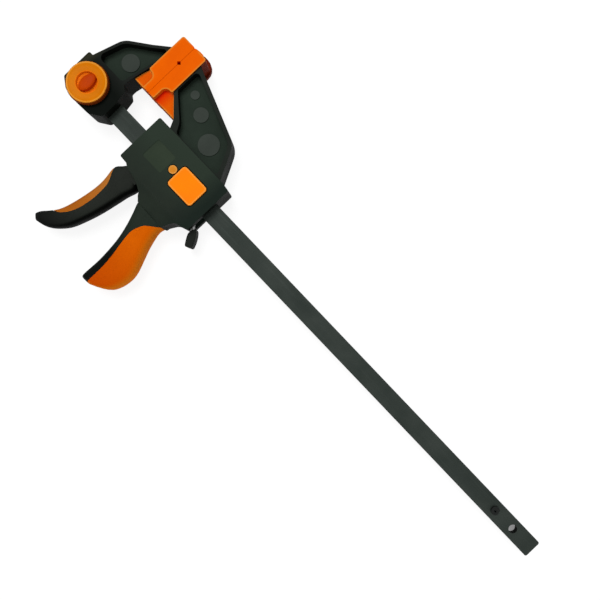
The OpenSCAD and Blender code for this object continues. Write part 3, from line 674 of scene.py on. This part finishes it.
def rounded_box(middle, half, corner, steps=10):
    """The outline of a rectangle with round corners"""
    line = []
    for quarter, (side_x, side_y) in enumerate(((1, 1), (-1, 1), (-1, -1), (1, -1))):
        for step in range(steps + 1):
            angle = math.pi / 2 * (quarter + step / steps)
            line.append((middle.x + side_x * (half.x - corner) + corner * math.cos(angle),
                         middle.y + side_y * (half.y - corner) + corner * math.sin(angle)))
    return line


widening = button_moat_width - button_flange
moat_half = (button_high - button_low) / 2 + Vector((widening, widening, 0))
moat_outline = rounded_box(button_middle, moat_half, button_corner + button_moat_width)
button_moat = prism("button_moat", moat_outline, front_face - moat_depth, front_face + 1, [])
plug_moat = disc("plug_moat", *plug_middle.xy, plug_radius + plug_moat_width, moat_depth)
plug_moat.data.transform(Matrix.Translation((0, 0, front_face / 1000)))
front_trim = prism("front_trim", cut_away, 0, cut_reach, [])
back_trim = prism("back_trim", cut_away, -cut_reach, 0, [])
for shell, cutters in (("front_shell", (button_moat, plug_moat, front_trim)),
                       ("back_shell", (back_trim,))):
    dressed(shell, "moving_jaw",
            jaw_materials + [rim_nylon, housing_nylon, panel_nylon], edge=0.0007, bright=3,
            choose=shell_faces, cutters=cutters)

# Shell screws: five thread-forming screws with cross recesses, driven in from the back.
# They differ only in length, which each point of the pattern carries.
screw_radius = 1.75
screw_head_radius = 3.15
screw_head_height = 2
screw_head_sink = 0.4
screw_shortfall = 4.9
screw_places = ((41.3, 20.7, 20), (103, 22.2, 20), (77.7, 46.4, 8), (49.8, 61.9, 8),
                (92.3, -39, 17))


def maker_tree(name, sizes, material):
    """A Geometry Nodes tree with named sizes, and the nodes that it starts and ends with"""
    tree = bpy.data.node_groups.new(name, "GeometryNodeTree")
    tree.interface.new_socket("Geometry", in_out="INPUT", socket_type="NodeSocketGeometry")
    for size in sizes:
        tree.interface.new_socket(size, in_out="INPUT", socket_type="NodeSocketFloat")
    tree.interface.new_socket("Geometry", in_out="OUTPUT", socket_type="NodeSocketGeometry")
    start = tree.nodes.new("NodeGroupInput")
    realize = tree.nodes.new("GeometryNodeRealizeInstances")
    coat = tree.nodes.new("GeometryNodeSetMaterial")
    coat.inputs["Material"].default_value = material
    link(tree, realize.outputs[0], coat.inputs["Geometry"])
    link(tree, coat.outputs[0], tree.nodes.new("NodeGroupOutput").inputs[0])
    return tree, start, realize


def baked(name, points, tree, sizes, place=None):
    """What the tree makes of a mesh of points, as a plain mesh that is then moved to place"""
    piece = bpy.data.objects.new(name, points)
    bpy.context.scene.collection.objects.link(piece)
    maker = piece.modifiers.new("maker", "NODES")
    maker.node_group = tree
    for item in tree.interface.items_tree:
        if item.in_out == "INPUT" and item.name in sizes:
            maker[item.identifier] = float(sizes[item.name])
    bpy.context.view_layer.update()
    graph = bpy.context.evaluated_depsgraph_get()
    mesh = bpy.data.meshes.new_from_object(piece.evaluated_get(graph))
    piece.modifiers.remove(maker)
    if place:
        mesh.transform(place)
    form = bmesh.new()
    form.from_mesh(mesh)
    bmesh.ops.recalc_face_normals(form, faces=form.faces)
    form.to_mesh(mesh)
    form.free()
    shaded(mesh)
    piece.data = mesh
    return piece


tree, start, realize = maker_tree(
    "screw_pattern", ("Shank radius", "Head radius", "Head height", "Head taper", "Recess length",
                      "Recess width"), pin_steel)
shank_radius, head_radius, head_height, head_taper, recess_length, recess_width = start.outputs[1:7]
shank = tree.nodes.new("GeometryNodeMeshCylinder")
shank.inputs["Vertices"].default_value = 24
shank.inputs["Depth"].default_value = 1
link(tree, shank_radius, shank.inputs["Radius"])
head = tree.nodes.new("GeometryNodeMeshCone")
head.inputs["Vertices"].default_value = 32
link(tree, head_radius, head.inputs["Radius Top"])
link(tree, maths(tree, "MULTIPLY", head_radius, head_taper), head.inputs["Radius Bottom"])
link(tree, head_height, head.inputs["Depth"])
cross = head.outputs["Mesh"]
long_side = maths(tree, "MULTIPLY", head_radius, recess_length)
short_side = maths(tree, "MULTIPLY", head_radius, recess_width)
for sides in ((long_side, short_side, head_height), (short_side, long_side, head_height)):
    blade_size = tree.nodes.new("ShaderNodeCombineXYZ")
    for side, socket in zip(sides, blade_size.inputs):
        link(tree, side, socket)
    cutter = tree.nodes.new("GeometryNodeMeshCube")
    link(tree, blade_size.outputs[0], cutter.inputs["Size"])
    notch = tree.nodes.new("GeometryNodeMeshBoolean")
    link(tree, cross, notch.inputs["Mesh 1"])
    link(tree, cutter.outputs["Mesh"], notch.inputs["Mesh 2"])
    cross = notch.outputs["Mesh"]
lengths = tree.nodes.new("GeometryNodeInputNamedAttribute")
lengths.data_type = "FLOAT"
lengths.inputs["Name"].default_value = "shank_length"
length = lengths.outputs["Attribute"]
stretch = tree.nodes.new("ShaderNodeCombineXYZ")
stretch.inputs[0].default_value = stretch.inputs[1].default_value = 1
link(tree, length, stretch.inputs[2])
rise = tree.nodes.new("ShaderNodeCombineXYZ")
link(tree, maths(tree, "ADD", head_height, maths(tree, "MULTIPLY", length, 0.5)), rise.inputs[2])
heads = tree.nodes.new("GeometryNodeInstanceOnPoints")
shanks = tree.nodes.new("GeometryNodeInstanceOnPoints")
for spots, form in ((heads, cross), (shanks, shank.outputs["Mesh"])):
    link(tree, start.outputs[0], spots.inputs["Points"])
    link(tree, form, spots.inputs["Instance"])
link(tree, stretch.outputs[0], shanks.inputs["Scale"])
raised = tree.nodes.new("GeometryNodeTranslateInstances")
raised.inputs["Local Space"].default_value = False
link(tree, shanks.outputs[0], raised.inputs["Instances"])
link(tree, rise.outputs[0], raised.inputs["Translation"])
screws = tree.nodes.new("GeometryNodeJoinGeometry")
link(tree, heads.outputs[0], screws.inputs[0])
link(tree, raised.outputs[0], screws.inputs[0])
link(tree, screws.outputs[0], realize.inputs[0])
pattern = bpy.data.meshes.new("screw_pattern")
pattern.from_pydata([(x / 1000, y / 1000, (screw_head_sink - z) / 1000)
                     for x, y, z in screw_places], [], [])
shank_lengths = pattern.attributes.new("shank_length", "FLOAT", "POINT")
for spot, (x, y, z) in zip(shank_lengths.data, screw_places):
    spot.value = (2 * z - screw_shortfall) / 1000
shell_screws = baked("shell_screws_piece", pattern, tree, {
    "Shank radius": screw_radius / 1000, "Head radius": screw_head_radius / 1000,
    "Head height": screw_head_height / 1000, "Head taper": 0.88, "Recess length": 1.1,
    "Recess width": 0.25})
fitted(shell_screws, "shell_screws", "moving_jaw")

# Trigger pin: ground steel, held between the shells, with its ends rounded so that it
# finds its holes when the halves are closed.
dressed("trigger_pin", "moving_jaw", [pin_steel], edge=0.0005, segments=3)

# Springs: coils of music wire with closed ends. The first lies round the bar behind the
# drive lever, the second beside the bar, and the third stands under the button.
closing = 0.4
tree, start, realize = maker_tree("coil", ("Radius", "Wire", "Length", "Turns"), spring_steel)
coil_radius, wire, length, turns = start.outputs[1:5]
spiral = tree.nodes.new("GeometryNodeCurveSpiral")
spiral.inputs["Resolution"].default_value = 40
link(tree, turns, spiral.inputs["Rotations"])
link(tree, coil_radius, spiral.inputs["Start Radius"])
link(tree, coil_radius, spiral.inputs["End Radius"])
link(tree, length, spiral.inputs["Height"])
factor = tree.nodes.new("GeometryNodeSplineParameter").outputs["Factor"]
wave = maths(tree, "SINE", maths(tree, "MULTIPLY", factor, 2 * math.pi))
rise = maths(tree, "SUBTRACT", factor, maths(tree, "MULTIPLY", wave, closing / (2 * math.pi)))
travel = maths(tree, "SUBTRACT", length, wire)
wire_radius = maths(tree, "MULTIPLY", wire, 0.5)
level = maths(tree, "ADD", maths(tree, "MULTIPLY", rise, travel), wire_radius)
position = tree.nodes.new("GeometryNodeInputPosition")
parts = tree.nodes.new("ShaderNodeSeparateXYZ")
link(tree, position.outputs[0], parts.inputs[0])
placed = tree.nodes.new("ShaderNodeCombineXYZ")
link(tree, parts.outputs[0], placed.inputs[0])
link(tree, parts.outputs[1], placed.inputs[1])
link(tree, level, placed.inputs[2])
closed = tree.nodes.new("GeometryNodeSetPosition")
link(tree, spiral.outputs[0], closed.inputs["Geometry"])
link(tree, placed.outputs[0], closed.inputs["Position"])
wire_section = tree.nodes.new("GeometryNodeCurvePrimitiveCircle")
wire_section.inputs["Resolution"].default_value = 12
link(tree, wire_radius, wire_section.inputs["Radius"])
drawn = tree.nodes.new("GeometryNodeCurveToMesh")
drawn.inputs["Fill Caps"].default_value = True
link(tree, closed.outputs[0], drawn.inputs["Curve"])
link(tree, wire_section.outputs["Curve"], drawn.inputs["Profile Curve"])
link(tree, drawn.outputs[0], realize.inputs[0])

lying = Matrix.Rotation(math.radians(90), 4, "Y")
standing = Matrix.Identity(4)
for spring, gauge, count, turn, joint, keep in (
        ("drive_spring", 0.0018, 5, lying, "drive_slide", 0.815),
        ("brake_spring", 0.0008, 4, lying, "brake_pivot", 0.53),
        ("button_spring", 0.0008, 3, standing, "button_press", 0.627)):
    low, high = (Vector(corner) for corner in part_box(spring))
    middle = (low + high) / 2
    upright = turn == standing
    foot = Vector((middle.x, middle.y, low.z)) if upright else Vector((low.x, middle.y, middle.z))
    piece = baked(spring + "_piece", bpy.data.meshes.new(spring), tree, {
        "Radius": (high.y - low.y - gauge) / 2, "Wire": gauge, "Turns": count,
        "Length": high.z - low.z if upright else high.x - low.x}, Matrix.Translation(foot) @ turn)
    fitted(piece, spring, "moving_jaw")
    if upright:
        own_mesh(piece)
    else:
        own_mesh(piece)

# Levers: steel plates stamped with a hole for the bar. The first is pushed along by the
# trigger's nose, and the second leans on the bar, holds it, and is bent into a tail.
stamped, tree, shader = finish("stamped_zinc_steel", Metallic=0.85)
mottle = noise(tree, 300, detail=4)
tone = blend(tree, mottle, srgb(104, 106, 104), srgb(146, 148, 146))
link(tree, tone, shader.inputs["Base Color"])
link(tree, spread(tree, mottle, 0.34, 0.5), shader.inputs["Roughness"])
link(tree, bump(tree, mottle, 0.00003), shader.inputs["Normal"])
dressed("drive_lever", "drive_lever", [stamped], edge=0.0003)
dressed("brake_lever", "brake_lever", [stamped], edge=0.0003)

# Release tab: a dark nylon cap pressed onto the brake lever's tail, swollen at the back
# where the thumb pushes it.
release_tab_outline = [
    (130.6, -23.8), (132.6, -24), (134.8, -26), (137.4, -29.4), (139.7, -33.2), (141.5, -37.2),
    (142.2, -39.4), (141.4, -41), (139.4, -42), (137, -43.2), (135.2, -42.7), (133.3, -40.2),
    (130.8, -36.3), (129, -32.6), (128.7, -29.8), (129.4, -26.6)]


def smooth_line(points, steps, ring=False):
    """Points on a smooth line through points of two or more numbers"""
    last = len(points) - 1
    line = []
    for i in range(last + 1 if ring else last):
        if ring:
            a, b, c, d = (Vector(points[(i + k) % (last + 1)]) for k in (-1, 0, 1, 2))
        else:
            a, b, c, d = (Vector(points[min(max(i + k, 0), last)]) for k in (-1, 0, 1, 2))
        for step in range(steps):
            t = step / steps
            line.append(0.5 * (2 * b + (c - a) * t + (2 * a - 5 * b + 4 * c - d) * t * t
                               + (3 * b - a - 3 * c + d) * t * t * t))
    return line if ring else line + [Vector(points[-1])]


release_tab_half = corners("release_tab")[1].z
tab_nylon = moulded("release_tab_nylon", (24, 26, 24), (34, 37, 34))
release_tab = prism("release_tab_piece", smooth_line(release_tab_outline, 3, ring=True),
                    -release_tab_half, release_tab_half, [tab_nylon])
edged(release_tab, 0.0012, corner=40, segments=3)
fitted(release_tab, "release_tab", "brake_lever")

# Handle: a moulded core whose tongue the shells close round, and a soft orange grip over
# its back. Both are lofted through the same sections, from the housing down to the foot,
# whose two edge lines are measured from the trigger's pivot.
pivot = next(Vector(joint["pos_m"][:2]) * 1000 for joint in frame["joints"]
             if joint["name"] == "trigger_pivot")
handle_half = corners("handle_core")[1].z
grip_depth = 3.5
core_back = 3
core_shoulder = 0.4
lining_gap = 0.1
sliver = 0.01
squareness = 3.2
most_height = 0.85
handle_front = [(19.2, -27.5), (20.4, -31.5), (22.1, -35.5), (24, -40), (28.2, -52.2), (32, -67.5),
                (33.9, -82.8), (34.8, -98), (34.5, -110), (34.3, -118), (35.2, -122.6)]
handle_rear = [(57.3, -28.9), (56.3, -32.5), (56.2, -36.5), (57.2, -42), (60.6, -54), (65.5, -66.5),
               (70.6, -80), (72.1, -91), (69.6, -104), (63.4, -113.4), (48, -122.3)]
tongue_corners = [(77.9, -49.9), (99.9, -49.9), (99.9, -31.1), (77.9, -31.1)]
tongue_half = 8
screw_hole_radius = 1.85
bare_widths = [36.6, 31.8, 25.4, 18.8, 10.4, 7.8, 8.6, 9.5, 10.2, 10.3, 9.3]


def skin(reach, width, height):
    """How far the surface stands off the middle plane, at a reach from the front edge"""
    return height * max(1 - abs(2 * reach / width - 1) ** squareness, 0) ** (1 / squareness)


def upper_line(begin, stop, width, height, steps):
    """Reach and height of points on the upper face, close together near both edges"""
    line = []
    for step in range(steps + 1):
        reach = begin + (stop - begin) * (1 - math.cos(math.pi * step / steps)) / 2
        line.append((reach, skin(reach, width, height)))
    return line


def mirrored(line):
    """Adds the lower face's points after the upper face's, coming back"""
    return line + [(reach, -height) for reach, height in reversed(line)]


def set_out(line, front, along):
    """A section's points in the part's frame; its front point is told from the pivot"""
    return [(pivot.x + front.x + along.x * reach, pivot.y + front.y + along.y * reach, height)
            for reach, height in line]


def sections(front_edge, rear_edge, shares):
    """Each section's front point, direction, width and share, on smooth lines"""
    for front, rear, share in zip(smooth_line(front_edge, 4), smooth_line(rear_edge, 4),
                                  smooth_line([(number, 0) for number in shares], 4)):
        width = (rear - front).length
        yield front, (rear - front) / width, width, share.x


core_rows = []
grip_rows = []
for front, along, width, bare_width in sections(handle_front, handle_rear, bare_widths):
    height = min(handle_half, width * most_height)
    seat_stop = width - core_back
    seat_start = bare_width + core_shoulder
    seat_height = height - grip_depth
    bare = upper_line(0, bare_width, width, height, 14)
    seat = upper_line(seat_start, seat_stop, seat_stop + sliver, seat_height, 20)
    core_rows.append(set_out(mirrored(bare + seat), front, along))
    cover = upper_line(bare_width + lining_gap, width, width, height, 26)
    lining = [(reach + lining_gap, level + lining_gap) for reach, level in upper_line(
        seat_start + lining_gap, seat_stop, seat_stop + sliver, seat_height, 26)]
    grip_rows.append(set_out(mirrored(cover) + list(reversed(mirrored(lining))), front, along))

handle_nylon = moulded("handle_black_nylon", (31, 38, 32), (38, 45, 38),
                       fade=[("Object", 1, -0.07, -0.105, (11, 13, 11))])
# The grip is painted paler where its surface turns away from the top, as painted light, and turns
# darker towards its foot.
grip_rubber = moulded("grip_rubber", (202, 88, 0), (208, 94, 2), low=0.55, high=0.7, gloss=0.01,
                      fade=[("Object", 1, -0.075, -0.14, (184, 68, 0)),
                            ("Normal", 2, 0.92, 0.35, (214, 114, 16))])
handle_core = solid("handle_core_piece", *rings(core_rows), [handle_nylon])
tongue = prism("tongue", tongue_corners, -tongue_half, tongue_half, [])
joined(handle_core, tongue)
screw_hole = disc("screw_hole", *screw_places[-1][:2], screw_hole_radius, cut_reach)
joined(handle_core, screw_hole, "DIFFERENCE")
fitted(handle_core, "handle_core", "moving_jaw")

points, faces = rings(grip_rows, closed_ends=False)
handle_grip = solid("handle_grip_piece", points, cell_ends(faces, len(grip_rows[0]), len(points)),
                    [grip_rubber])
edged(handle_grip, 0.0006, corner=50, segments=3)
fitted(handle_grip, "handle_grip", "moving_jaw")

# Trigger: a curved blade of black nylon with rounded faces, and a hub and a nose inside
# the housing. A soft orange strip is moulded on its front edge, where the fingers pull.
trigger_half = corners("trigger")[1].z
trigger_front = [(-14, -10), (-22.2, -17.5), (-24.1, -24), (-22.3, -36), (-22, -47), (-23.9, -62),
                 (-27.6, -79.5), (-31.8, -91.5), (-37.6, -100), (-42.6, -106), (-46, -112)]
trigger_rear = [(6, -15.5), (8.4, -19), (9.6, -23), (6.5, -33), (4.5, -43), (0.1, -64), (-4.6, -80),
                (-10.5, -95.5), (-17.5, -105.5), (-27.2, -114), (-39.5, -117.8)]
neck = [(43.2, -19), (36, -29.4), (33, -33.5), (56, -37.4), (56, -29.5), (56.9, -27.5), (56.8, -19)]
hub_radius = 7.2
nose_place = (55, -28.5)
nose_radius = 2.5
pivot_hole_radius = 3.05
strip_gap = 0.05
strip_depths = [-3, -2, 2.6, 7.2, 8.6, 9.8, 9.4, 5.4, -1.5, -3, -3]
blade_rows = []
strip_rows = []
for front, along, width, depth in sections(trigger_front, trigger_rear, strip_depths):
    height = min(trigger_half, width * most_height)
    depth = max(depth, 0)
    blade = upper_line(depth, width, width, height, 20)
    blade_rows.append(set_out(mirrored(blade), front, along))
    if depth > 2 * strip_gap:
        strip = upper_line(0, depth - strip_gap, width, height, 12)
        strip_rows.append(set_out(mirrored(strip), front, along))
# The blade's rear-facing faces are painted near-black as shade, and it turns darker towards its
# lower end.
trigger_nylon = moulded("trigger_black_nylon", (30, 33, 29), (38, 41, 37),
                        fade=[("Object", 1, -0.095, -0.135, (14, 15, 14)),
                              ("Normal", 0, 0.32, 0.62, (5, 6, 5))])
trigger = solid("trigger_piece", *rings(blade_rows), [trigger_nylon])
joined(trigger, prism("neck", neck, -trigger_half, trigger_half, []))
joined(trigger, disc("hub", *pivot, hub_radius, trigger_half))
joined(trigger, disc("nose", *nose_place, nose_radius, trigger_half, steps=24))
joined(trigger, disc("pivot_hole", *pivot, pivot_hole_radius, cut_reach), "DIFFERENCE")
fitted(trigger, "trigger", "trigger")

strip_rubber = moulded("strip_rubber", (160, 86, 18), (172, 96, 28), low=0.55, high=0.7,
                       fade=[("Object", 1, -0.085, -0.05, (174, 108, 44))])
trigger_insert = solid("trigger_insert_piece", *rings(strip_rows), [strip_rubber])
fitted(trigger_insert, "trigger_insert", "trigger")

# Push button: an orange rounded rectangle, moulded with a flange that keeps it in the
# housing's front. Its rim carries a painted highlight, paler than its face.
button_orange = moulded("button_orange", (246, 122, 0), (250, 132, 2), low=0.35, high=0.5,
                        depth=0.00001, edge_highlight=(0.0034, (236, 160, 70)))
dressed("release_button", "release_button", [button_orange],
        edge=0.0006, segments=4)

# Front plug: a small amber stud pressed into the housing beside the button, with a
# rounded head whose edge carries a painted highlight.
plug_amber = moulded("plug_amber", (200, 122, 28), (210, 132, 40), low=0.4, high=0.5,
                     edge_highlight=(0.0024, (214, 152, 76)))
dressed("front_plug", "moving_jaw", [plug_amber], edge=0.0006, segments=3)
